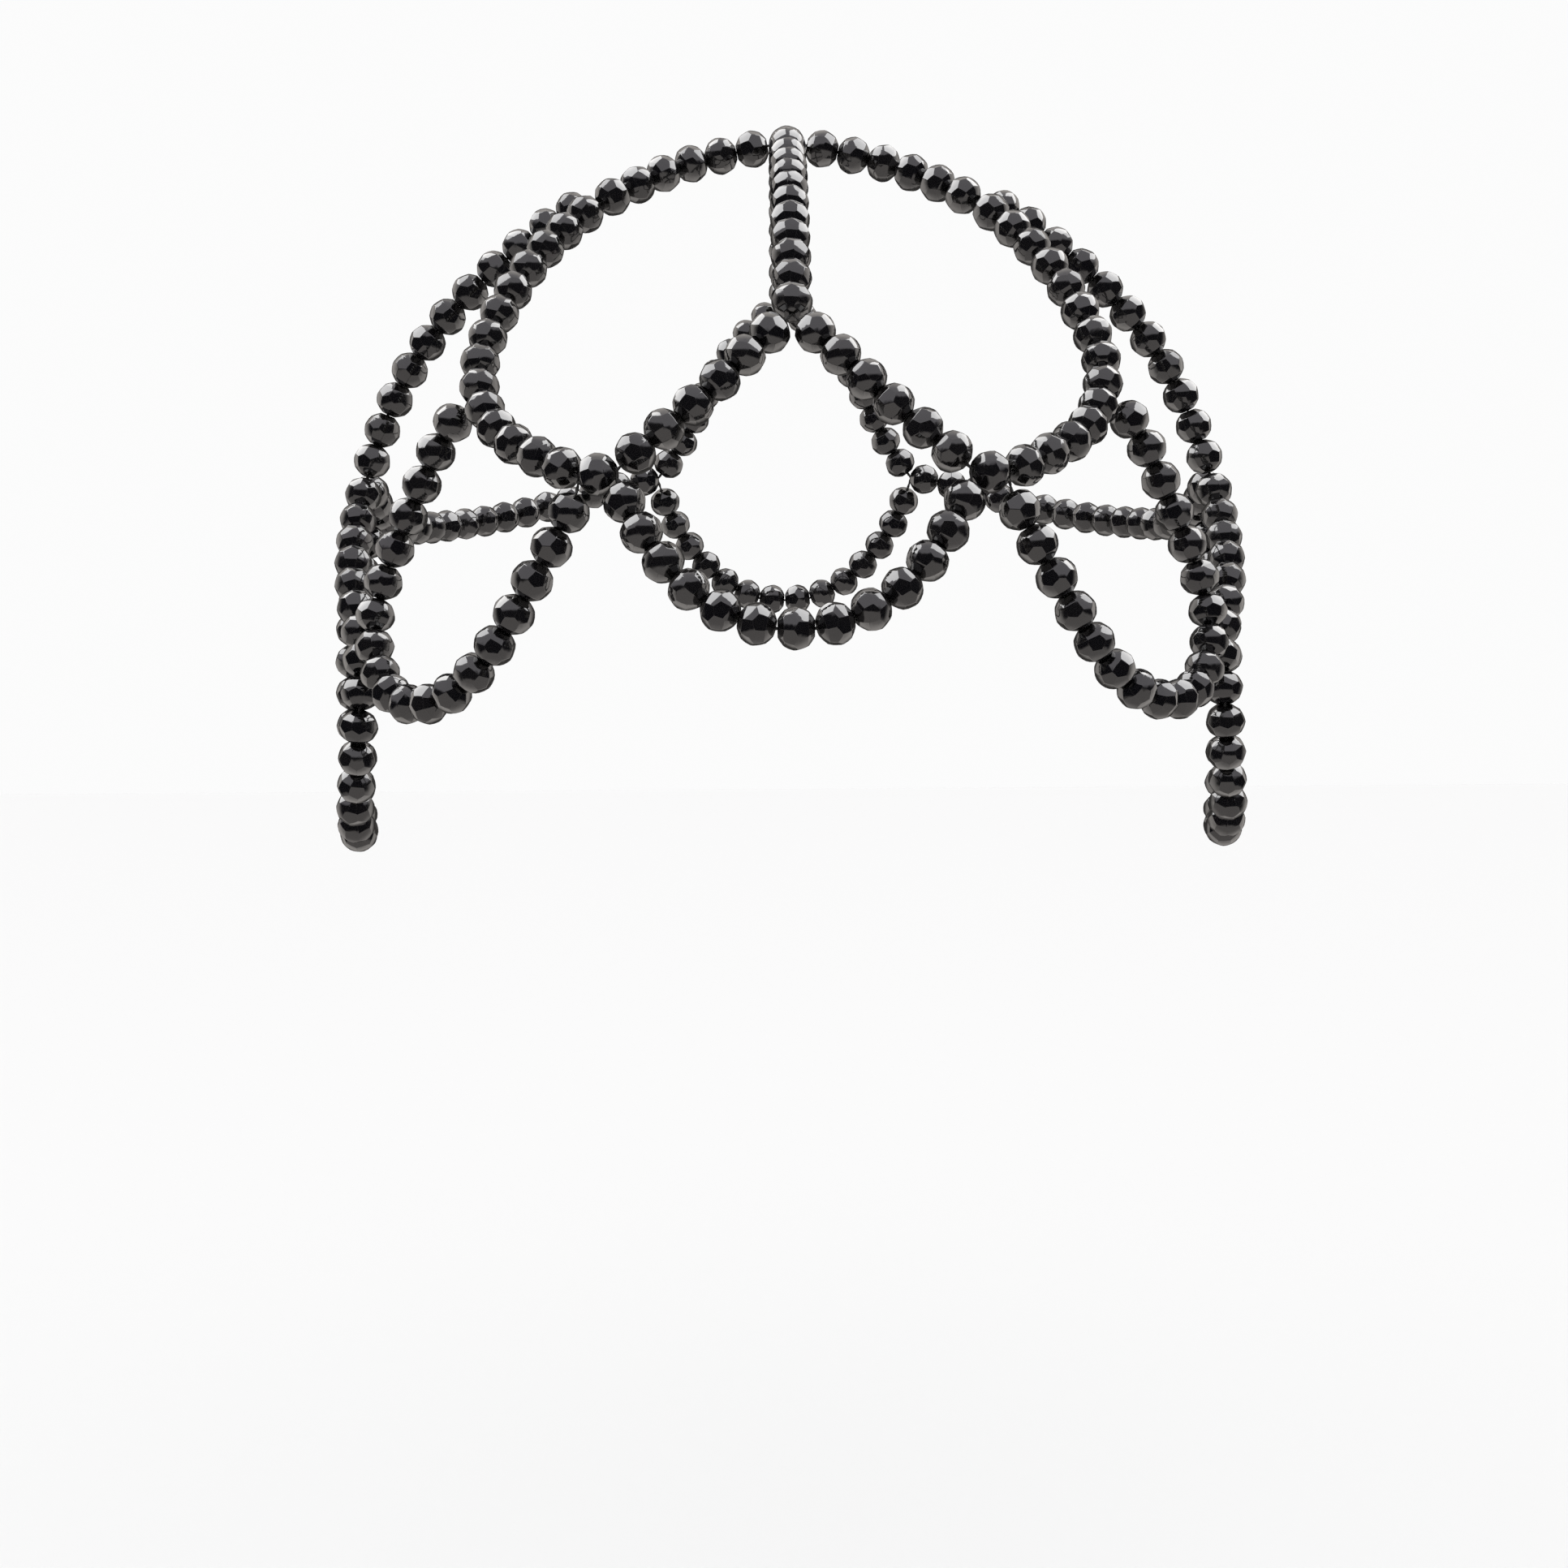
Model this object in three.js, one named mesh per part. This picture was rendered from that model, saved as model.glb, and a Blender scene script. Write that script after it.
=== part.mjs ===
// A headpiece of faceted beads: strands of one size of round bead lie over the crown, the forehead
// and the sides of a head, fork, and close into hanging lobes and loops.
//
// Millimetres, +Z up, +Y to the back of the head, +X to the wearer's left.
// The origin is the point of the head right under the crossing of threads at the crown.

import * as THREE from 'three';

// Sizes

const beadDiameter = 7;          // across a bead, at its wide rings
const beadPitch = 6.2;           // from one bead to the next along its strand
const wideBand = 2.9;            // length of the band of facets round the middle of a bead
const neckDiameter = 2.4;        // where two beads of a strand meet
const facetsAround = 10;         // corners of each wide ring, even; a neck ring has half as many
const pieceGap = 0.3;            // clear space between two strands that touch

const halfWidth = 84;            // from the middle to the widest bead
const frontReach = 72;           // from the crown forward to the front loop
const backReach = 106;           // from the crown back to the back loop
const drop = 129;                // from the crown down to the lowest bead

// Where a strand starts short of the point that its path starts from.
const knee = beadDiameter * 0.08;                   // end to end with one other strand
const crotch = beadDiameter * 0.31;                 // in the crotch of a fork of three
const crossing = beadDiameter * 0.53;               // square to two beads that meet end to end
const flank = beadDiameter / 2 + pieceGap;          // square to the side of another strand
const leaning = flank + 2 * pieceGap;               // slanting to the side of another strand

// The same at the end of a junction bead, where two strands meet it: the one that runs on from
// the bead, and the one that turns down.
const runningOn = beadDiameter * 0.19;
const turningDown = beadDiameter * 0.41;

const beadColor = 0x0b0b0d;

// Places are [across, along, up]: a share of halfWidth, a share of frontReach (forward, negative)
// or of backReach (backward, positive), and a share of drop, from the crossing at the crown.

const anchors = {
  crown: [0, 0, 0],
  fork: [0, -0.720, -0.342],
  sideFork: [0.413, -0.124, -0.109],
  frontJunction: [0.369, -0.841, -0.549],
  frontTie: [0.619, -0.556, -0.428],
  rearTie: [0.947, 0.042, -0.480],
  lobeTie: [0.958, 0.195, -0.508],
  backFork: [0, 0.695, -0.107],
  backJunction: [0.383, 0.867, -0.387],
};

// Which way the hole of each junction bead runs, from its inner end to its outer end.
const junctionHoles = {
  front: new THREE.Vector3(0.956, 0.255, -0.144),
  back: new THREE.Vector3(0.960, -0.240, -0.148),
};

// The points that each strand passes between its two ends.
const routes = {
  frontCentre: [[0, -0.254, -0.091], [0, -0.457, -0.181], [0, -0.639, -0.285]],
  side: [[0.079, 0.009, -0.009], [0.210, 0.002, -0.030], [0.333, -0.067, -0.073]],
  frontDiagonal: [
    [0.042, -0.743, -0.362], [0.088, -0.777, -0.395], [0.190, -0.815, -0.463],
    [0.304, -0.833, -0.525],
  ],
  frontLoop: [
    [0.325, -0.878, -0.582], [0.288, -0.908, -0.621], [0.200, -0.952, -0.696],
    [0.072, -0.986, -0.741],
  ],
  frontSwag: [
    [0.478, -0.192, -0.154], [0.547, -0.288, -0.219], [0.600, -0.381, -0.294],
    [0.632, -0.476, -0.371], [0.610, -0.582, -0.445], [0.541, -0.697, -0.500],
    [0.433, -0.798, -0.538],
  ],
  frontLobe: [
    [0.683, -0.503, -0.448], [0.751, -0.454, -0.527], [0.815, -0.402, -0.610],
    [0.862, -0.387, -0.699], [0.840, -0.464, -0.781], [0.767, -0.588, -0.825],
    [0.662, -0.705, -0.814], [0.569, -0.786, -0.755], [0.493, -0.826, -0.675],
    [0.418, -0.842, -0.591],
  ],
  rearDiagonal: [
    [0.468, -0.059, -0.103], [0.592, -0.031, -0.157], [0.704, -0.017, -0.218],
    [0.806, 0.012, -0.288], [0.886, 0.040, -0.368], [0.940, 0.050, -0.458],
  ],
  sideLobe: [
    [0.957, 0, -0.543], [0.949, -0.119, -0.610], [0.928, -0.228, -0.675],
    [0.897, -0.321, -0.739], [0.898, -0.367, -0.828], [0.914, -0.294, -0.906],
    [0.939, -0.177, -0.969], [0.954, -0.026, -1], [0.977, 0.075, -0.972],
    [0.994, 0.114, -0.880], [1, 0.124, -0.772], [1, 0.137, -0.669], [0.985, 0.172, -0.585],
  ],
  backCentre: [[0, 0.233, 0.027], [0, 0.464, -0.004]],
  backDiagonal: [[0.042, 0.712, -0.120], [0.183, 0.794, -0.207], [0.272, 0.858, -0.316]],
  backLoop: [[0.312, 0.920, -0.451], [0.217, 0.963, -0.533], [0.100, 0.993, -0.584]],
  backSwag: [
    [0.950, 0.345, -0.519], [0.875, 0.537, -0.500], [0.733, 0.695, -0.468],
    [0.558, 0.808, -0.424],
  ],
};

// From shares to points

function place([across, along, up]) {
  return new THREE.Vector3(
    across * halfWidth,
    along * (along < 0 ? frontReach : backReach),
    up * drop,
  );
}

function mirrored(point) {
  return new THREE.Vector3(-point.x, point.y, point.z);
}

// One end of a junction bead: side is -1 for its inner end and 1 for its outer end.
function junctionEnd(name, side) {
  const hole = junctionHoles[name].clone().normalize();
  return place(anchors[name + 'Junction']).addScaledVector(hole, side * beadPitch / 2);
}

// A strand of beads as one closed solid

// A ring of corners square to the strand, turned by phase from the side vector.
function ring(centre, axis, side, radius, corners, phase) {
  const other = new THREE.Vector3().crossVectors(axis, side);
  return Array.from({ length: corners }, (_, k) => {
    const angle = phase + (k / corners) * 2 * Math.PI;
    return centre.clone()
      .addScaledVector(side, radius * Math.cos(angle))
      .addScaledVector(other, radius * Math.sin(angle));
  });
}

// The facets from a neck ring to the wide ring after it, which has twice as many corners.
function flare(neck, wide, triangle) {
  neck.forEach((corner, k) => {
    const next = neck[(k + 1) % neck.length];
    const [a, b, c] = [0, 1, 2].map((step) => wide[(2 * k + step) % wide.length]);
    triangle(corner, next, b);
    triangle(corner, b, a);
    triangle(next, c, b);
  });
}

// The facets between the two wide rings of a bead, whose corners are staggered by half a step.
function band(first, second, triangle) {
  first.forEach((corner, k) => {
    const next = (k + 1) % first.length;
    triangle(corner, first[next], second[k]);
    triangle(first[next], second[next], second[k]);
  });
}

function fan(corners, triangle) {
  for (let k = 1; k < corners.length - 1; k += 1) {
    triangle(corners[0], corners[k], corners[k + 1]);
  }
}

// Joins beads end to end through the given meeting points. Each bead is turned half a facet
// against the one before it, so that the facets of neighbours don't line up.
function beadSolid(meetings, directions) {
  const corners = [];
  const forward = (...points) => corners.push(...points);
  const backward = (...points) => corners.push(...points.reverse());
  const turn = Math.PI / facetsAround;
  const neckCorners = facetsAround / 2;

  // The rings' zero angle points up, or back on a strand that starts almost upright, and is
  // carried along from ring to ring without a twist.
  const upright = Math.abs(directions[0].z) > 0.9;
  let side = upright ? new THREE.Vector3(0, 1, 0) : new THREE.Vector3(0, 0, 1);
  const squareTo = (axis) => {
    side = side.clone().addScaledVector(axis, -side.dot(axis)).normalize();
    return side;
  };

  const neckAt = (k) => ring(
    meetings[k], directions[k], squareTo(directions[k]), neckDiameter / 2, neckCorners, k * turn,
  );
  let neck = neckAt(0);
  fan(neck, backward);
  for (let k = 0; k + 1 < meetings.length; k += 1) {
    const axis = meetings[k + 1].clone().sub(meetings[k]);
    const centre = meetings[k].clone().addScaledVector(axis, 0.5);
    const bandHalf = (wideBand / beadPitch) * axis.length() / 2;
    axis.normalize();
    const [first, second] = [-1, 1].map((end) => ring(
      centre.clone().addScaledVector(axis, end * bandHalf), axis, squareTo(axis),
      beadDiameter / 2, facetsAround, (k + (end + 1) / 2) * turn,
    ));
    const nextNeck = neckAt(k + 1);
    flare(neck, first, forward);
    band(first, second, forward);
    flare(nextNeck, second, backward);
    neck = nextNeck;
  }
  fan(neck, forward);

  return new THREE.BufferGeometry().setFromPoints(corners);
}

// A strand along a smooth path, starting and ending short of the path's ends, with as many beads
// as fit at about the pitch.
function strand(points, startShort, endShort) {
  const path = new THREE.CatmullRomCurve3(points);
  path.arcLengthDivisions = 60 * points.length;
  const length = path.getLength();
  const usable = length - startShort - endShort;
  const beads = Math.max(1, Math.round(usable / beadPitch));
  const shares = Array.from(
    { length: beads + 1 },
    (_, k) => (startShort + (k / beads) * usable) / length,
  );
  return beadSolid(
    shares.map((share) => path.getPointAt(share)),
    shares.map((share) => path.getTangentAt(share)),
  );
}

// The headpiece

const headpiece = new THREE.Group();
const net = new THREE.Group();
net.position.z = beadDiameter / 2;
headpiece.add(net);

function addPiece(name, geometry) {
  geometry.computeVertexNormals();
  const material = new THREE.MeshStandardMaterial({
    color: beadColor, roughness: 0.08, metalness: 0, flatShading: true,
  });
  const mesh = new THREE.Mesh(geometry, material);
  mesh.name = name;
  net.add(mesh);
}

const at = Object.fromEntries(Object.entries(anchors).map(([name, share]) => [name, place(share)]));
const via = Object.fromEntries(
  Object.entries(routes).map(([name, shares]) => [name, shares.map(place)]),
);
const ends = {
  frontInner: junctionEnd('front', -1),
  frontOuter: junctionEnd('front', 1),
  backInner: junctionEnd('back', -1),
  backOuter: junctionEnd('back', 1),
};

// The strands on the middle line.
addPiece('front_centre_strand', strand([at.crown, ...via.frontCentre, at.fork], knee, knee));
addPiece('back_centre_strand', strand([at.crown, ...via.backCentre, at.backFork], knee, knee));

// A loop from one junction bead to its mirror image.
function loop(end, half) {
  const down = [end, ...half];
  return strand([...down, ...down.map(mirrored).reverse()], turningDown, turningDown);
}
addPiece('front_loop', loop(ends.frontInner, via.frontLoop));
addPiece('back_loop', loop(ends.backInner, via.backLoop));

// The strands that come in pairs: path, and how far each end stops short.
const pairs = {
  side_strand: [[at.crown, ...via.side, at.sideFork], crossing, knee],
  front_diagonal: [[at.fork, ...via.frontDiagonal, ends.frontInner], crotch, runningOn],
  front_junction_bead: [[ends.frontInner, ends.frontOuter], 0, 0],
  front_swag: [[at.sideFork, ...via.frontSwag, ends.frontOuter], knee, runningOn],
  front_lobe: [[at.frontTie, ...via.frontLobe, ends.frontOuter], leaning, turningDown],
  rear_diagonal: [[at.sideFork, ...via.rearDiagonal, at.rearTie], flank, knee],
  side_lobe: [[at.rearTie, ...via.sideLobe, at.lobeTie], knee, flank],
  back_swag: [[at.rearTie, at.lobeTie, ...via.backSwag, ends.backOuter], flank, knee],
  back_diagonal: [[at.backFork, ...via.backDiagonal, ends.backInner], crotch, runningOn],
  back_junction_bead: [[ends.backInner, ends.backOuter], 0, 0],
};

for (const [name, [points, startShort, endShort]] of Object.entries(pairs)) {
  addPiece('left_' + name, strand(points, startShort, endShort));
  addPiece('right_' + name, strand(points.map(mirrored), startShort, endShort));
}

export default headpiece;
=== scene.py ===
# %% [markdown]
# A crystal headpiece
#
# The headpiece is a net of strands of faceted black glass beads. Four strands meet at its top,
# fork in front and behind, and close into loops, lobes and swags all round. The packed model
# holds every strand as one coarse solid in its true place. This lesson strings the real beads
# along those solids, cuts their facets, runs the thread through them and lights them.

# %% Load the frame
import math
import random

import bmesh
import bpy
import numpy as np
from mathutils import Matrix, Quaternion, Vector


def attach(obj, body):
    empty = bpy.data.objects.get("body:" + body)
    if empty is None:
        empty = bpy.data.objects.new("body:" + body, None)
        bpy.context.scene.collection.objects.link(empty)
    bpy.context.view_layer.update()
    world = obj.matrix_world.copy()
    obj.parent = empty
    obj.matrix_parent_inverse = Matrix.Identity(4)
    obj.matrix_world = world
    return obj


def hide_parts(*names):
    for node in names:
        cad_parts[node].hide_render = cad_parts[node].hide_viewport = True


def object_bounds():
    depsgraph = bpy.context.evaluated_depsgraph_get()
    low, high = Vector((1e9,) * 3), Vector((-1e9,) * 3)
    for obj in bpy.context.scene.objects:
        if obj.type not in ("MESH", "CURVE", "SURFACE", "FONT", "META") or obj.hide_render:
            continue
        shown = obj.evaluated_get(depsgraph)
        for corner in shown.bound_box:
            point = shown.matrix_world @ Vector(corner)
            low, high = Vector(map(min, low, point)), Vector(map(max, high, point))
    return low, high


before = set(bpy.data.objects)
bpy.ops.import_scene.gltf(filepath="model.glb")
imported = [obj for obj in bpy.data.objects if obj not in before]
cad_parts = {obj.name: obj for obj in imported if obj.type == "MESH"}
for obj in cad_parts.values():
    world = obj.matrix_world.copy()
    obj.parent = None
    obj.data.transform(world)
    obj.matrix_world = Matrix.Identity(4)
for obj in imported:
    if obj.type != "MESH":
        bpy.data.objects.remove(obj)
cad_low, cad_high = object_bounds()
print("strands:", len(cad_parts), "box:", [round(v, 4) for v in cad_high - cad_low])

# %% [markdown]
# The camera comes first, because every look at the work depends on it. The photograph was taken
# level and from close by, at the height of the lowest beads, so its perspective is strong: the
# beads in front look half as big again as those at the back. A camera at the same place with the
# same angle of view repeats that, which a crop of a distant view could not.

# %% Camera
MM = 0.001
CAMERA_PLACE = Vector((-4.9, -393.9, -116.4)) * MM
CAMERA_AHEAD = Vector((0.0089, 1.0, 0.0))
CAMERA_RIGHT = Vector((1.0, -0.0089, -0.0068))
SENSOR_WIDTH = 36.0
LENS = 48.45
NEAREST_SEEN = 10 * MM


def look(place, ahead, right):
    """The matrix of a camera at a place, looking ahead, with its right side to the right."""
    back = -ahead.normalized()
    right = (right - back * right.dot(back)).normalized()
    up = back.cross(right)
    turn = Matrix((right, up, back)).transposed()
    return Matrix.Translation(place) @ turn.to_4x4()


camera = bpy.data.objects.new("camera", bpy.data.cameras.new("camera"))
bpy.context.scene.collection.objects.link(camera)
camera.data.sensor_width = SENSOR_WIDTH
camera.data.lens = LENS
camera.data.clip_start = NEAREST_SEEN
camera.matrix_world = look(CAMERA_PLACE, CAMERA_AHEAD, CAMERA_RIGHT)
bpy.context.scene.camera = camera
print("camera", [round(v, 3) for v in camera.location], "lens", LENS)

# %% [markdown]
# Every strand's solid is a row of rings: a small neck ring where two beads meet, two wide rings
# round a bead, then the next neck ring. To know where the beads sit, it is enough to walk along
# the solid ring by ring. The walk starts at an end, because the two ends are the only flat spots
# with five corners. The routes of the strands could be written down again here, but the beads
# would then miss any change of the model. Measured from the solids, they follow it.

# %% Where the beads are
SAME_CORNER = 0.01 * MM
FLAT = math.radians(0.5)
NECK_CORNERS = 5
NECK_REACH = 1.3 * MM     # a little more than the radius of a neck
RINGS_PER_BEAD = 3


def layers_from(corners):
    """All corners of a solid, in layers by how many edges away from the given corners they lie."""
    seen = set(corners)
    layer = list(corners)
    layers = []
    while layer:
        layers.append(layer)
        around = {edge.other_vert(corner) for corner in layer for edge in corner.link_edges}
        layer = sorted(around - seen, key=lambda corner: corner.index)
        seen.update(layer)
    return layers


def centre_of(corners):
    """The middle of some corners."""
    return sum((corner.co for corner in corners), Vector()) / len(corners)


def end_centre(solid):
    """The middle of the flat spot at one end of a strand."""
    merged = solid.copy()
    bmesh.ops.dissolve_limit(merged, angle_limit=FLAT, verts=merged.verts, edges=merged.edges)
    centre = next(f.calc_center_median() for f in merged.faces if len(f.verts) == NECK_CORNERS)
    merged.free()
    return centre


def neck_centres(node):
    """The centres of a strand's neck rings in order, from one end of the strand to the other."""
    solid = bmesh.new()
    solid.from_mesh(node.data)
    bmesh.ops.remove_doubles(solid, verts=solid.verts, dist=SAME_CORNER)
    solid.verts.index_update()
    end = end_centre(solid)
    rings = layers_from([c for c in solid.verts if (c.co - end).length < NECK_REACH])
    necks = [centre_of(ring) for ring in rings[::RINGS_PER_BEAD]]
    solid.free()
    return necks


strands = {name: neck_centres(node) for name, node in sorted(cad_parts.items())}
pitches = [(b - a).length / MM for necks in strands.values() for a, b in zip(necks, necks[1:])]
print("beads:", len(pitches), "pitch:", round(min(pitches), 2), "to", round(max(pitches), 2), "mm")

# %% [markdown]
# A faceted bead is ground from a ball with flat ends. Two staggered rows of eight facets meet in a
# zigzag round its middle, and a row of eight leads to each end, where the bore comes out. The way
# chosen here is the grinder's own: a list of planes, each with its tilt, its turn and its depth.
# Each plane is a little off, as on real beads, so the facets are uneven five-sided shapes and
# neighbours flash differently. Facets modelled by hand would come out the same on every bead.

# %% How a bead is ground
BEAD_ACROSS = 6.8 * MM    # the ball that the facets follow; a finished bead is a hair wider
BEAD_LENGTH = 6.1 * MM
FACETS_IN_ROW = 8
STAGGER = 0.25            # of a facet, one way in the upper rows and the other way in the lower
MIDDLE_ROW_TILT = math.radians(19.5)
END_ROW_TILT = math.radians(54)
FACET_DEPTH = 0.94        # how far out a facet lies, as a share of the ball's radius
TILT_SLIP = math.radians(3.5)
DEPTH_SLIP = 0.010
CUT_SEED = 7
FULL_TURN = 2 * math.pi


def facet_planes(slip):
    """The grinding planes of one bead along Z: the way each faces and how far out it lies."""
    planes = []
    for row_tilt in (MIDDLE_ROW_TILT, END_ROW_TILT):
        for end in (-1, 1):
            for k in range(FACETS_IN_ROW):
                turn = FULL_TURN * (k + STAGGER * end) / FACETS_IN_ROW
                turn += slip.uniform(-TILT_SLIP, TILT_SLIP)
                tilt = end * row_tilt + slip.uniform(-TILT_SLIP, TILT_SLIP)
                facing = Vector((
                    math.cos(tilt) * math.cos(turn), math.cos(tilt) * math.sin(turn), math.sin(tilt),
                ))
                reach = BEAD_ACROSS / 2 * FACET_DEPTH * (1 + slip.uniform(-DEPTH_SLIP, DEPTH_SLIP))
                planes.append((facing, reach))
    for end in (-1, 1):
        planes.append((Vector((0, 0, end)), BEAD_LENGTH / 2))
    return planes


print("planes to grind:", len(facet_planes(random.Random(CUT_SEED))))

# %% [markdown]
# On the wheel, glass is taken off one facet at a time, and then the bead is drilled. A boolean
# with 34 blocks would do the same, but it is slow and leaves slivers. Cutting a rough block with
# one plane after another is quick, and each cut is closed at once with a single clean facet. The
# bore is made by opening the two flat ends and joining their rims with a ten-sided tube.

# %% Grind one bead and bore it
BLOCK_SIZE = 1.2 * BEAD_ACROSS
BORE_ACROSS = 1.0 * MM
BORE_SIDES = 10


def grind(solid, facing, reach):
    """Cuts off what lies beyond a plane and closes the cut with one flat facet."""
    everything = solid.verts[:] + solid.edges[:] + solid.faces[:]
    cut = bmesh.ops.bisect_plane(
        solid, geom=everything, plane_co=facing * reach, plane_no=facing, clear_outer=True,
    )
    rim = [part for part in cut["geom_cut"] if isinstance(part, bmesh.types.BMEdge)]
    bmesh.ops.contextual_create(solid, geom=rim)


def ground_block(slip):
    """A rough block, cut by all the planes of one bead."""
    solid = bmesh.new()
    bmesh.ops.create_cube(solid, size=BLOCK_SIZE)
    for facing, reach in facet_planes(slip):
        grind(solid, facing, reach)
    return solid


def bore(solid):
    """Drills the hole for the thread from end to end."""
    mouths = []
    for end in (-1, 1):
        flat = max(solid.faces, key=lambda face: end * face.calc_center_median().z)
        rim = list(flat.edges)
        bmesh.ops.delete(solid, geom=[flat], context="FACES_ONLY")
        place = Matrix.Translation((0, 0, end * BEAD_LENGTH / 2))
        ring = set(bmesh.ops.create_circle(
            solid, segments=BORE_SIDES, radius=BORE_ACROSS / 2, matrix=place,
        )["verts"])
        mouth = [edge for edge in solid.edges if ring.issuperset(edge.verts)]
        bmesh.ops.bridge_loops(solid, edges=rim + mouth)
        mouths += mouth
    bmesh.ops.bridge_loops(solid, edges=mouths)


sample = ground_block(random.Random(CUT_SEED))
print("facets on a ground block:", len(sample.faces), "corners:", len(sample.verts))
sample.free()

# %% [markdown]
# Ground glass is polished afterwards, and the polishing makes it look like glass and not like a
# cut-out. It turns the edges into round strips about a tenth of a millimetre wide, so they catch
# thin lines of light. It also leaves the facets domed, so a lamp shows in them as a patch with
# soft corners and the bead's outline stays nearly round. A subdivision surface would round
# everything alike and lose the crisp lines between facets. Here a bevel rounds the edges. For the
# domes, each facet gets a ring of points and a middle, and every point then moves part of the way
# to the round ball.

# %% Polish a bead
EDGE_ROUNDING = 0.06 * MM
EDGE_SEGMENTS = 2
ROUND_PROFILE = 0.5
SHARP = math.radians(8)
PULL_IN = 0.82            # how far corners outside the ball move in to it
PUSH_OUT = 0.36           # how far facets inside the ball move out to it
BORE_RIM = 0.75 * BORE_ACROSS
END_POINTS = 0.995 * BEAD_LENGTH / 2


def round_edges(solid):
    """Rounds the sharp edges and returns the narrow faces that come of it."""
    sharp = [edge for edge in solid.edges if edge.calc_face_angle(0) > SHARP]
    return set(bmesh.ops.bevel(
        solid, geom=sharp, offset=EDGE_ROUNDING, offset_type="OFFSET", segments=EDGE_SEGMENTS,
        profile=ROUND_PROFILE, affect="EDGES", clamp_overlap=True,
    )["faces"])


def add_rings(corners, faces, is_facet):
    """Gives each facet a ring of points half way in and a middle point."""
    corners, split = list(corners), []
    for face, facet in zip(faces, is_facet):
        if not facet:
            split.append([face])
            continue
        middle = len(corners)
        centre = np.mean([corners[k] for k in face], axis=0)
        corners += [centre] + [(corners[k] + centre) / 2 for k in face]
        ring = list(range(middle + 1, middle + 1 + len(face)))
        sides = list(zip(face, face[1:] + face[:1], ring, ring[1:] + ring[:1]))
        split.append([[a, b, d, c] for a, b, c, d in sides] + [[c, d, middle] for _, _, c, d in sides])
    return np.array(corners), split


def swell(corners):
    """Moves points part of the way to the round ball, but not those of the bore and flat ends."""
    to_ball = BEAD_ACROSS / 2 / np.linalg.norm(corners, axis=1)
    free = np.linalg.norm(corners[:, :2], axis=1) > BORE_RIM
    free &= np.abs(corners[:, 2]) < END_POINTS
    share = free * np.where(to_ball < 1, PULL_IN, PUSH_OUT)
    return corners * (1 + share * (to_ball - 1))[:, None]


dome = PUSH_OUT * (1 - FACET_DEPTH) * BEAD_ACROSS / 2
print("the middle of a facet moves out by", round(dome / MM, 3), "mm")

# %% [markdown]
# A string of real beads comes from one batch, in which no two are quite alike. Grinding all 268
# one by one would be slow, so a stock of some sixteen cuts is made once, and the strands draw
# from it. Now and then the bore tears a bead whose facets meet awkwardly. Every edge of a sound
# bead joins two faces that agree on which side is out, and cuts that fail this are thrown away.

# %% A stock of cuts
SHORTEST_EDGE = 0.20 * MM
END_FACES = 0.98 * BEAD_LENGTH / 2
TRIES = 24                # a third of them tear and are thrown away


def is_whole(solid):
    """Whether every edge joins two faces that agree on which side is out."""
    return all(edge.is_manifold and edge.is_contiguous for edge in solid.edges)


def is_outside(face):
    """Whether a face lies on the round of the bead, and not on a flat end or in the bore."""
    place = face.calc_center_median()
    return place.xy.length > BORE_ACROSS and abs(place.z) < END_FACES


def ground_bead(slip):
    """One bead along Z: its corners, faces and marks of rounded edges, or None if it tore."""
    solid = ground_block(slip)
    bmesh.ops.remove_doubles(solid, verts=solid.verts, dist=SHORTEST_EDGE)
    bmesh.ops.subdivide_edges(solid, edges=solid.edges, cuts=1)
    bore(solid)
    bmesh.ops.recalc_face_normals(solid, faces=solid.faces)
    rounded = round_edges(solid)
    if not is_whole(solid):
        solid.free()
        return None
    solid.verts.index_update()
    corners = [np.array(corner.co) for corner in solid.verts]
    faces = [[corner.index for corner in face.verts] for face in solid.faces]
    marks = [float(face in rounded) for face in solid.faces]
    is_facet = [is_outside(face) and face not in rounded for face in solid.faces]
    solid.free()
    corners, split = add_rings(corners, faces, is_facet)
    marks = [mark for mark, parts in zip(marks, split) for _ in parts]
    return swell(corners), [part for parts in split for part in parts], marks


cutter = random.Random(CUT_SEED)
cuts = [cut for cut in (ground_bead(cutter) for _ in range(TRIES)) if cut]
print("whole cuts:", len(cuts), "faces on each:", [len(faces) for _, faces, _ in cuts])
widths = [np.linalg.norm(corners[:, :2], axis=1).max() * 2 / MM for corners, _, _ in cuts]
print("widest:", round(max(widths), 2), "mm, narrowest:", round(min(widths), 2), "mm")

# %% [markdown]
# Beads are strung with whatever side happens to face out, so each is rolled by its own chance
# angle and some sit the other way round. Where a strand bends, two neighbours touch at the inner
# rim of their ends, so a bead takes up a little less of the strand there. An array along a curve
# would space them evenly but roll them all alike, so each bead gets a matrix of its own.

# %% How the beads sit on a strand
END_FLAT = 1.25 * MM      # half the width of the flat round the bore
BEAD_SPACE = 0.05 * MM
SIZE_SLIP = 0.008
TURNED_ROUND = 0.5        # the share of beads that sit the other way round


def bend_at(necks, k):
    """The angle between the beads before and after a neck, or 0 at the end of a strand."""
    if k == 0 or k == len(necks) - 1:
        return 0.0
    return (necks[k] - necks[k - 1]).angle(necks[k + 1] - necks[k])


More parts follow.
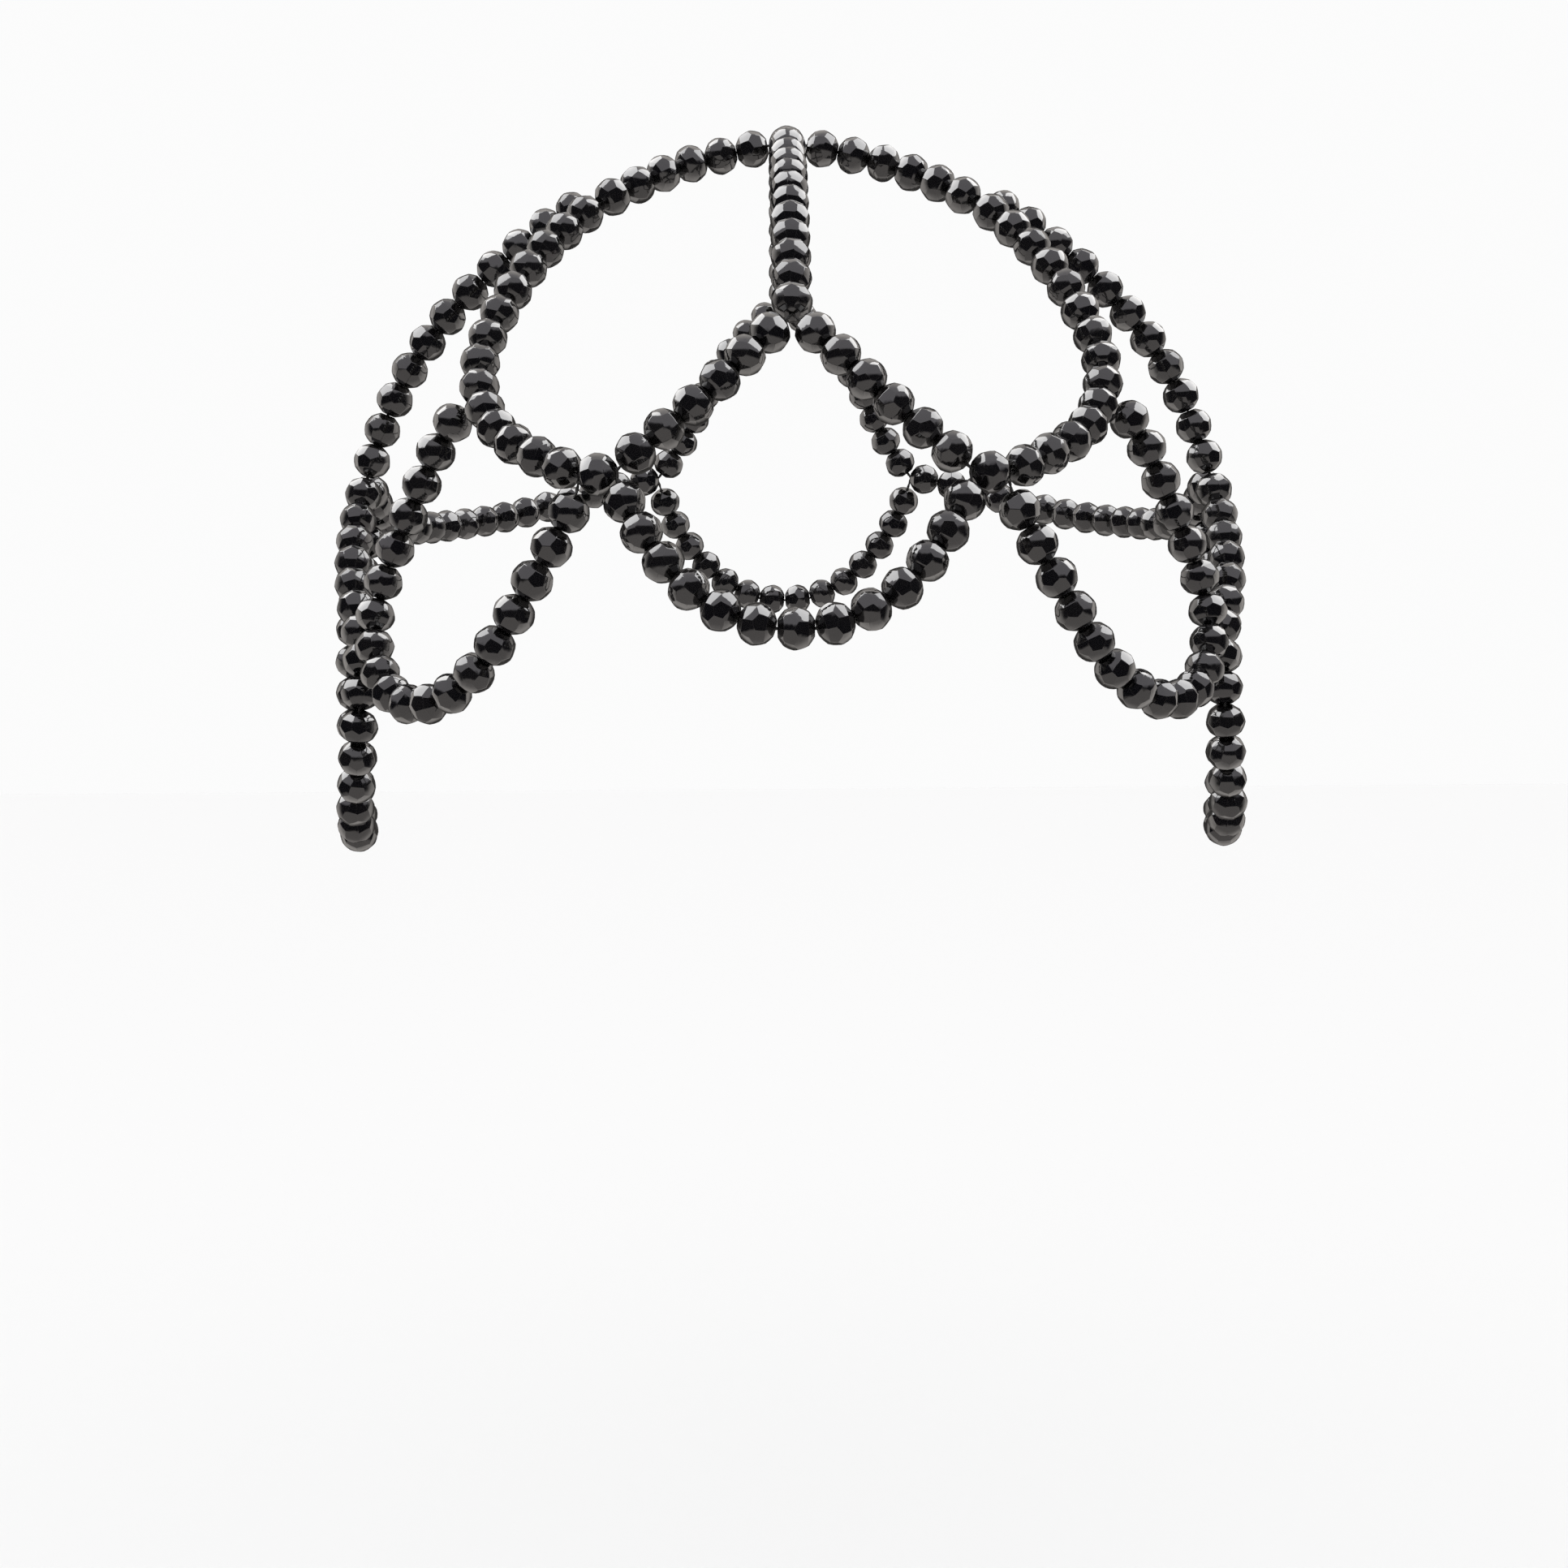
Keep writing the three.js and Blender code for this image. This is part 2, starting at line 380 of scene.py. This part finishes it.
def bead_places(necks, chance):
    """For each bead of a strand: its cut, and the matrix that puts it on the thread."""
    for k in range(len(necks) - 1):
        along = necks[k + 1] - necks[k]
        taken = END_FLAT * (math.tan(bend_at(necks, k) / 2) + math.tan(bend_at(necks, k + 1) / 2))
        length = min((along.length - taken - BEAD_SPACE) / BEAD_LENGTH, 1.0)
        across = 1 + chance.uniform(-SIZE_SLIP, SIZE_SLIP)
        turn = along.to_track_quat("Z", "Y") @ Quaternion((0, 0, 1), chance.uniform(0, FULL_TURN))
        if chance.random() < TURNED_ROUND:
            turn = turn @ Quaternion((1, 0, 0), math.pi)
        place = Matrix.LocRotScale((necks[k] + necks[k + 1]) / 2, turn, (across, across, length))
        yield chance.choice(cuts), place


bends = [bend_at(necks, k) for necks in strands.values() for k in range(len(necks))]
print("sharpest bend between two beads:", round(math.degrees(max(bends)), 1), "degrees")

# %% [markdown]
# The beads of a strand are joined into one mesh, which stands for the strand's coarse solid. It
# could be some twenty objects instead, but a strand is handled as one thing, and one mesh is
# lighter. Two numbers stay on each face: the tone of its bead, and whether it lies on a rounded
# edge. The finish reads them later. Facets and rounded edges are shaded smoothly, each by itself,
# and the lines between them are marked sharp, so that the domes don't smear into the edges.

# %% String the beads
STRING_SEED = 31


def keep_edges_crisp(mesh, edge_marks):
    """Shades facets and rounded edges smoothly, each by itself, with a crisp line between them."""
    mesh.polygons.foreach_set("use_smooth", [True] * len(mesh.polygons))
    sizes = np.zeros(len(mesh.polygons), dtype=np.int32)
    mesh.polygons.foreach_get("loop_total", sizes)
    edge_of_loop = np.zeros(len(mesh.loops), dtype=np.int32)
    mesh.loops.foreach_get("edge_index", edge_of_loop)
    marks = np.repeat(np.array(edge_marks), sizes)
    low, high = np.ones(len(mesh.edges)), np.zeros(len(mesh.edges))
    np.minimum.at(low, edge_of_loop, marks)
    np.maximum.at(high, edge_of_loop, marks)
    mesh.edges.foreach_set("use_edge_sharp", high > low)


def string_of_beads(name, necks, chance):
    """One mesh of all the beads of a strand, with each bead's tone and its rounded edges marked."""
    corners, faces, edge_marks, tones = [], [], [], []
    for (cut_corners, cut_faces, cut_edges), place in bead_places(necks, chance):
        turned = cut_corners @ np.array(place.to_3x3()).T + np.array(place.translation)
        first = sum(len(part) for part in corners)
        corners.append(turned)
        faces += [[first + k for k in face] for face in cut_faces]
        edge_marks += cut_edges
        tones += [chance.random()] * len(cut_faces)
    mesh = bpy.data.meshes.new(name)
    mesh.from_pydata(np.concatenate(corners).tolist(), [], faces)
    for attribute, values in (("rounded_edge", edge_marks), ("bead_tone", tones)):
        mesh.attributes.new(attribute, "FLOAT", "FACE").data.foreach_set("value", values)
    keep_edges_crisp(mesh, edge_marks)
    piece = bpy.data.objects.new(name, mesh)
    bpy.context.scene.collection.objects.link(piece)
    return piece


chance = random.Random(STRING_SEED)
bead_pieces = {}
for node_name, necks in strands.items():
    piece = string_of_beads("beads_" + node_name, necks, chance)
    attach(piece, "root")
    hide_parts(node_name)
    bead_pieces[node_name] = piece
print("bead faces:", sum(len(p.data.polygons) for p in bead_pieces.values()))

# %% [markdown]
# The thread shows only in the slits between beads and where strands meet. There a strand's thread
# leaves its last bead and goes to the nearest thread of another strand, where it is tied. The
# knots lie hidden between beads, so only the short way to them is made. The thread's way is a
# list of points through the necks, which keeps it in the middle of every bore.

# %% The way of the thread
THREAD_STEP = 0.25 * MM
LONGEST_TIE = 9.0 * MM


def nearest_neck(point, name):
    """The closest neck or end of any other strand."""
    others = [neck for other, necks in strands.items() if other != name for neck in necks]
    return min(others, key=lambda neck: (neck - point).length)


def thread_points(name, necks):
    """A strand's thread: through every neck, and out at both ends to the thread that it ties to."""
    points = list(necks)
    for end, add in ((necks[0], lambda p: points.insert(0, p)), (necks[-1], points.append)):
        tie = nearest_neck(end, name)
        if SAME_CORNER < (tie - end).length < LONGEST_TIE:
            add(tie)
    return points


def steps_along(points):
    """Points at an even step along straight stretches."""
    for a, b in zip(points, points[1:]):
        count = max(1, round((b - a).length / THREAD_STEP))
        yield from (a.lerp(b, k / count) for k in range(count))
    yield points[-1]


thread_ways = {name: thread_points(name, necks) for name, necks in strands.items()}
run = sum((b - a).length for points in thread_ways.values() for a, b in zip(points, points[1:]))
print("thread in all:", round(run, 2), "m")

# %% [markdown]
# The thread is a black two-ply cord. A plain round tube would do inside the beads, but it would
# look like wire in the slits. A real twisted cord has two lobes that turn about each other, and a
# tube with a two-lobed section that turns as it goes gives just that.

# %% Twist the thread
THREAD_ACROSS = 0.6 * MM
THREAD_SIDES = 8
TWIST_LENGTH = 3.0 * MM
LOBE_DEPTH = 0.20
FIRST_SIDE = Vector((0.31, 0.47, 0.83))     # a way that no strand starts along


def cord_sections(path):
    """The corners of a two-lobed section at each point of a path, turning as it goes."""
    side = FIRST_SIDE
    gone = 0.0
    for k, point in enumerate(path):
        ahead = (path[min(k + 1, len(path) - 1)] - path[max(k - 1, 0)]).normalized()
        side = (side - ahead * side.dot(ahead)).normalized()
        other = ahead.cross(side)
        if k:
            gone += (point - path[k - 1]).length
        twist = FULL_TURN * gone / TWIST_LENGTH
        for j in range(THREAD_SIDES):
            angle = FULL_TURN * j / THREAD_SIDES
            reach = THREAD_ACROSS / 2 * (1 - LOBE_DEPTH + LOBE_DEPTH * math.cos(2 * angle))
            yield point + (side * math.cos(angle + twist) + other * math.sin(angle + twist)) * reach


def twisted_cord(name, points):
    """A closed tube along the points, made of those sections."""
    corners = list(cord_sections(list(steps_along(points))))
    faces = []
    for first in range(0, len(corners) - THREAD_SIDES, THREAD_SIDES):
        for j in range(THREAD_SIDES):
            a, b = first + j, first + (j + 1) % THREAD_SIDES
            faces.append((a, b, b + THREAD_SIDES, a + THREAD_SIDES))
    faces.append(tuple(reversed(range(THREAD_SIDES))))
    faces.append(tuple(range(len(corners) - THREAD_SIDES, len(corners))))
    mesh = bpy.data.meshes.new(name)
    mesh.from_pydata(corners, [], faces)
    mesh.polygons.foreach_set("use_smooth", [True] * len(faces))
    piece = bpy.data.objects.new(name, mesh)
    bpy.context.scene.collection.objects.link(piece)
    return piece


thread_pieces = []
for node_name, points in thread_ways.items():
    piece = twisted_cord("thread_" + node_name, points)
    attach(piece, "root")
    thread_pieces.append(piece)
print("thread faces:", sum(len(p.data.polygons) for p in thread_pieces))

# %% [markdown]
# Materials are sums of small effects, so they read best as arithmetic. A small class wraps a
# socket, and an expression on wrapped sockets adds the Math nodes that work it out. Any other
# node is made by one method, which takes its settings first and then what goes into its sockets.

# %% Shader arithmetic
class Number:
    """A socket that carries a number, for use in expressions."""

    def __init__(self, finish, socket):
        self.finish = finish
        self.socket = socket

    def _math(self, operation, first, second):
        node = self.finish.node("ShaderNodeMath", {"operation": operation}, {0: first, 1: second})
        return Number(self.finish, node.outputs[0])

    def __add__(self, other):
        return self._math("ADD", self, other)

    def __radd__(self, other):
        return self._math("ADD", other, self)

    def __mul__(self, other):
        return self._math("MULTIPLY", self, other)

    def __rmul__(self, other):
        return self._math("MULTIPLY", other, self)


class Finish:
    """A material, or the world, as a tree of nodes."""

    def __init__(self, holder):
        holder.use_nodes = True
        self.tree = holder.node_tree
        self.tree.nodes.clear()

    def node(self, kind, settings=None, inputs=None):
        """Adds a node. Its settings are set first, then its sockets are set or linked."""
        made = self.tree.nodes.new(kind)
        for key, value in (settings or {}).items():
            setattr(made, key, value)
        for key, value in (inputs or {}).items():
            socket = made.inputs[key]
            source = value.socket if isinstance(value, Number) else value
            if isinstance(source, bpy.types.NodeSocket):
                self.tree.links.new(source, socket)
            else:
                socket.default_value = source
        return made

    def number(self, kind, settings=None, inputs=None, output=0):
        """Adds a node and gives back one of its outputs, ready for expressions."""
        return Number(self, self.node(kind, settings, inputs).outputs[output])

    def mark(self, name):
        """A number that the mesh stores on each face."""
        return self.number("ShaderNodeAttribute", {"attribute_name": name}, output="Fac")

    def noise(self, scale, detail):
        """A soft mottling from 0 to 1, fixed to the object, with the scale in waves a metre."""
        place = self.node("ShaderNodeTexCoord").outputs["Object"]
        sockets = {"Vector": place, "Scale": scale, "Detail": detail}
        return self.number("ShaderNodeTexNoise", inputs=sockets)

    def ramp(self, value, low, high):
        """Rises softly from 0 at the low value to 1 at the high one."""
        sockets = {"Value": value, "From Min": low, "From Max": high}
        return self.number("ShaderNodeMapRange", {"interpolation_type": "SMOOTHSTEP"}, sockets)

    def blend(self, amount, first, second):
        """A colour from the first to the second."""
        made = self.node("ShaderNodeMix", {"data_type": "RGBA"})
        sockets = {socket.identifier: socket for socket in made.inputs}
        self.tree.links.new(amount.socket, sockets["Factor_Float"])
        for key, value in (("A_Color", first), ("B_Color", second)):
            if isinstance(value, bpy.types.NodeSocket):
                self.tree.links.new(value, sockets[key])
            else:
                sockets[key].default_value = value
        return next(s for s in made.outputs if s.identifier == "Result_Color")

    def bump(self, height, strength, distance):
        """A normal that tilts with the slope of a height."""
        sockets = {"Strength": strength, "Distance": distance, "Height": height}
        return self.node("ShaderNodeBump", inputs=sockets).outputs[0]

    def surface(self, sockets):
        """The surface shader, joined to the material's output."""
        shader = self.node("ShaderNodeBsdfPrincipled", inputs=sockets)
        self.node("ShaderNodeOutputMaterial", inputs={"Surface": shader.outputs[0]})


print("ways to make a node:", [name for name in vars(Finish) if not name.startswith("_")])

# %% [markdown]
# The beads are black crystal: opaque glass with so much metal in it that it reflects almost three
# times as much as window glass, and the facets facing a lamp flash nearly white while the rest
# stay black. A metallic black would reflect its own dark colour, so the finish sets a reflection
# without colour, by the index of refraction. Handling leaves a thin haze, so the polish varies a
# little from place to place and from bead to bead. The rounded edges between facets are the first
# to wear, so they are a touch rougher and paler.

# %% Black crystal
CRYSTAL_BLACK = (0.0015, 0.0015, 0.0020, 1.0)
CRYSTAL_SMOKE = (0.0055, 0.0048, 0.0046, 1.0)
WORN_EDGE = (0.012, 0.011, 0.011, 1.0)
CRYSTAL_INDEX = 2.0
HAZE_SCALE, HAZE_DETAIL = 420.0, 3.0
RIPPLE_SCALE, RIPPLE_DETAIL = 650.0, 1.0
RIPPLE_STRENGTH, RIPPLE_HEIGHT = 0.35, 0.02 * MM
SMOKE_BY_HAZE, SMOKE_BY_BEAD = 0.6, 0.4
EDGE_WEAR = 0.6
POLISH, DULL_HAZE, DULL_BEAD, DULL_EDGE = 0.03, 0.05, 0.03, 0.05


def crystal():
    """Glass as the beads have it, with its haze and its worn edges."""
    material = bpy.data.materials.new("black_crystal")
    finish = Finish(material)
    haze = finish.noise(HAZE_SCALE, HAZE_DETAIL)
    tone = finish.mark("bead_tone")
    edge = finish.mark("rounded_edge")
    ripple = finish.noise(RIPPLE_SCALE, RIPPLE_DETAIL)
    body = finish.blend(haze * SMOKE_BY_HAZE + tone * SMOKE_BY_BEAD, CRYSTAL_BLACK, CRYSTAL_SMOKE)
    finish.surface({
        "Base Color": finish.blend(edge * EDGE_WEAR, body, WORN_EDGE),
        "Roughness": POLISH + haze * DULL_HAZE + tone * DULL_BEAD + edge * DULL_EDGE,
        "IOR": CRYSTAL_INDEX,
        "Normal": finish.bump(ripple, RIPPLE_STRENGTH, RIPPLE_HEIGHT),
    })
    return material


black_crystal = crystal()
for piece in bead_pieces.values():
    piece.data.materials.append(black_crystal)
print("crystal on", len(bead_pieces), "strands")

# %% [markdown]
# The thread is waxed nylon. It is dull next to the glass, a little brown in the light, and shows
# fine fibres along each ply. The fibres could be modelled, but they are far finer than the slits
# they show in, so a fine noise in the bump and the colour stands for them.

# %% Waxed thread
THREAD_BLACK = (0.012, 0.011, 0.010, 1.0)
THREAD_DUSTY = (0.045, 0.042, 0.040, 1.0)
FIBRE_SCALE, FIBRE_DETAIL = 9000.0, 3.0
FIBRE_STRENGTH, FIBRE_HEIGHT = 0.6, 0.03 * MM
WAX_SCALE, WAX_DETAIL = 900.0, 2.0
DUST_ON_FIBRE = 0.7
WAX_SHINE, WAX_DULL = 0.45, 0.25


def waxed_thread():
    """Waxed nylon with dust on its fibres."""
    material = bpy.data.materials.new("waxed_thread")
    finish = Finish(material)
    fibre = finish.noise(FIBRE_SCALE, FIBRE_DETAIL)
    wax = finish.noise(WAX_SCALE, WAX_DETAIL)
    finish.surface({
        "Base Color": finish.blend(fibre * DUST_ON_FIBRE, THREAD_BLACK, THREAD_DUSTY),
        "Roughness": WAX_SHINE + wax * WAX_DULL,
        "Normal": finish.bump(fibre, FIBRE_STRENGTH, FIBRE_HEIGHT),
    })
    return material


thread_finish = waxed_thread()
for piece in thread_pieces:
    piece.data.materials.append(thread_finish)
print("thread finish on", len(thread_pieces), "threads")

# %% [markdown]
# The headpiece hangs in the air in the shape it has when worn, over a plain pale floor. The floor
# could touch the lowest beads, but then it would show hard shadows. It lies well below them, so
# it runs softly into the white backdrop. Reflections don't see it, because what lies below the
# beads is painted into the world instead.

# %% Floor
FLOOR_DROP = 130 * MM     # from the lowest bead down to the floor
FLOOR_HALF = 60.0
FLOOR_COLOUR = (0.88, 0.88, 0.88, 1.0)
FLOOR_ROUGHNESS = 0.9

floor_mesh = bpy.data.meshes.new("floor")
floor_level = cad_low.z - FLOOR_DROP
floor_mesh.from_pydata(
    [(x, y, floor_level) for x, y in (
        (-FLOOR_HALF, -FLOOR_HALF), (FLOOR_HALF, -FLOOR_HALF),
        (FLOOR_HALF, FLOOR_HALF), (-FLOOR_HALF, FLOOR_HALF),
    )],
    [], [(0, 1, 2, 3)],
)
floor = bpy.data.objects.new("floor", floor_mesh)
bpy.context.scene.collection.objects.link(floor)
floor_material = bpy.data.materials.new("pale_floor")
Finish(floor_material).surface({"Base Color": FLOOR_COLOUR, "Roughness": FLOOR_ROUGHNESS})
floor_mesh.materials.append(floor_material)
floor.visible_glossy = False
print("floor at", round(floor_level, 3))

# %% [markdown]
# Black glass shows nothing but reflections, so the light is what models it. The studio is dark
# round the camera, pale above and below, and brightest behind the beads. Facets turned to the
# camera stay black, those turned up or down are grey, and the rims get thin light crescents. A
# dark screen in the middle of the wall behind keeps the beads black from the back as well. Real
# walls and screens would have to stand out of every view, so the room is painted into the world,
# by direction, and only reflections see it. The camera sees a plain white backdrop, and all
# other light is even.

# %% The studio round the headpiece
BACKDROP = (0.97, 0.97, 0.97, 1.0)
EVEN_LIGHT = (1.115, 1.115, 1.115, 1.0)
DARK_ROOM = (0.018, 0.018, 0.024, 1.0)
PALE_WALL = (0.80, 0.76, 0.73, 1.0)
CEILING = (0.66, 0.64, 0.68, 1.0)
TABLE = (0.50, 0.47, 0.455, 1.0)
BACK_WALL = (1.15, 1.09, 1.04, 1.0)
DARK_SCREEN = (0.10, 0.095, 0.09, 1.0)
SIDE_WALLS_RISE = (0.05, 0.50)     # along Y, away from the camera
BACK_WALL_RISE = (0.0, 0.60)
SCREEN_RISE = (0.60, 0.86)
CEILING_RISE = (0.36, 0.46)        # along Z, up or down


def studio_room():
    """Lights the world by the kind of ray and, for reflections, by its direction."""
    world = bpy.data.worlds.new("studio")
    bpy.context.scene.world = world
    finish = Finish(world)
    way = finish.node("ShaderNodeTexCoord").outputs["Generated"]
    parts = finish.node("ShaderNodeSeparateXYZ", inputs={0: way}).outputs
    away, up = Number(finish, parts["Y"]), Number(finish, parts["Z"])
    walls = finish.blend(finish.ramp(away, *SIDE_WALLS_RISE), DARK_ROOM, PALE_WALL)
    upper = finish.blend(finish.ramp(up, *CEILING_RISE), walls, CEILING)
    lower = finish.blend(finish.ramp(-1 * up, *CEILING_RISE), upper, TABLE)
    behind = finish.blend(finish.ramp(away, *BACK_WALL_RISE), lower, BACK_WALL)
    room = finish.blend(finish.ramp(away, *SCREEN_RISE), behind, DARK_SCREEN)
    path = finish.node("ShaderNodeLightPath").outputs
    light = finish.blend(Number(finish, path["Is Glossy Ray"]), EVEN_LIGHT, room)
    seen = finish.blend(Number(finish, path["Is Camera Ray"]), light, BACKDROP)
    background = finish.node("ShaderNodeBackground", inputs={"Color": seen})
    finish.node("ShaderNodeOutputWorld", inputs={"Surface": background.outputs[0]})
    return len(finish.tree.nodes)


print("studio room made of", studio_room(), "nodes")

# %% [markdown]
# A wide soft box high on each side gives the near-white patches on the upper facets. Small bare
# lamps would give pin-sharp glints, which the photograph doesn't have. The boxes are ovals, so
# their patches have soft corners, and they light only the beads and the thread, which leaves the
# floor evenly white.

# %% The soft boxes
BOX_RADIANCE = 3.6
BOX_DISTANCE = 1.0
BOX_WIDTH = 1.00
BOX_HEIGHT = 0.90
BOX_WAY = Vector((0.60, 0.12, 0.79))     # towards the left box; the right one mirrors it


def soft_box(name, place, aim, width, height, radiance, lit):
    """A soft oval lamp that the camera doesn't see. It lights only what is in the collection."""
    lamp = bpy.data.lights.new(name, "AREA")
    lamp.shape = "ELLIPSE"
    lamp.size = width
    lamp.size_y = height
    oval = math.pi / 4 * width * height
    lamp.energy = radiance * math.pi * oval
    box = bpy.data.objects.new(name, lamp)
    bpy.context.scene.collection.objects.link(box)
    box.location = place
    box.rotation_euler = (aim - place).to_track_quat("-Z", "Y").to_euler()
    box.visible_camera = False
    box.light_linking.receiver_collection = lit


lit_by_boxes = bpy.data.collections.new("lit_by_boxes")
for piece in list(bead_pieces.values()) + thread_pieces:
    lit_by_boxes.objects.link(piece)
middle = (cad_low + cad_high) / 2
for side, sign in (("left", 1), ("right", -1)):
    way = Vector((sign * BOX_WAY.x, BOX_WAY.y, BOX_WAY.z)).normalized()
    place = middle + way * BOX_DISTANCE
    soft_box("box_" + side, place, middle, BOX_WIDTH, BOX_HEIGHT, BOX_RADIANCE, lit_by_boxes)
bpy.context.scene.view_settings.view_transform = "Standard"
bpy.context.scene.view_settings.look = "None"

# %% [markdown]
# The beads and threads have to stay inside the solids' box.
